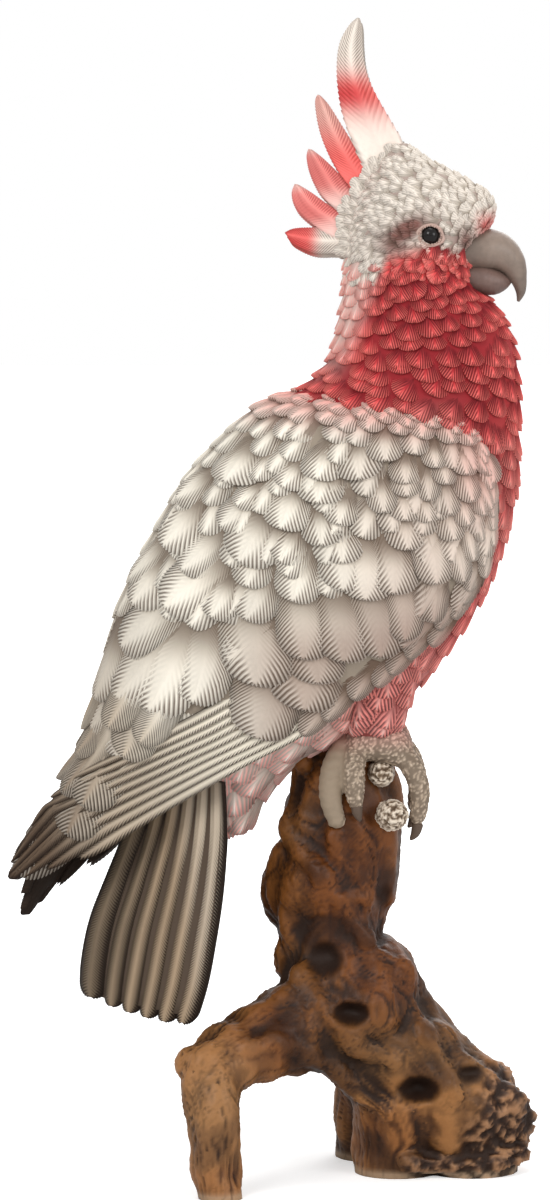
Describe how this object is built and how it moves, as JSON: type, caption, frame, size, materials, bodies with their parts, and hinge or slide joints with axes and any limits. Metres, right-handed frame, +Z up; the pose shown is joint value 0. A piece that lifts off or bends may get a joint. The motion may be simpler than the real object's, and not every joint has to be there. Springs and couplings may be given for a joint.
{
  "type": "parrot figurine",
  "caption": "Painted cast figurine of a crested cockatoo perched on a gnarled driftwood stump with splayed roots.",
  "frame": {"origin": "centre of the bounding box in plan, at the flat underside of the driftwood", "axes": "+Z up along the bird's height, +X the way the bird looks, the picture's camera looks along +Y"},
  "size_m": [0.1626, 0.0886, 0.3596],
  "materials": {
    "painted_resin": "hand-painted cast resin, matt, dark wash in the grooves",
    "painted_plumage": "cream, coral and red paint on the feathers, matt, with a brown-grey wash in the grooves",
    "painted_beak": "grey-beige paint with fine dark speckles, matt",
    "painted_eye": "glossy black paint",
    "painted_feet": "grey-beige paint over a fine grain, matt",
    "painted_driftwood": "brown paint with lighter dry-brushed ridges, satin"
  },
  "bodies": {
    "root": {"cockatoo_figurine": "painted_resin"}
  },
  "joints": []
}
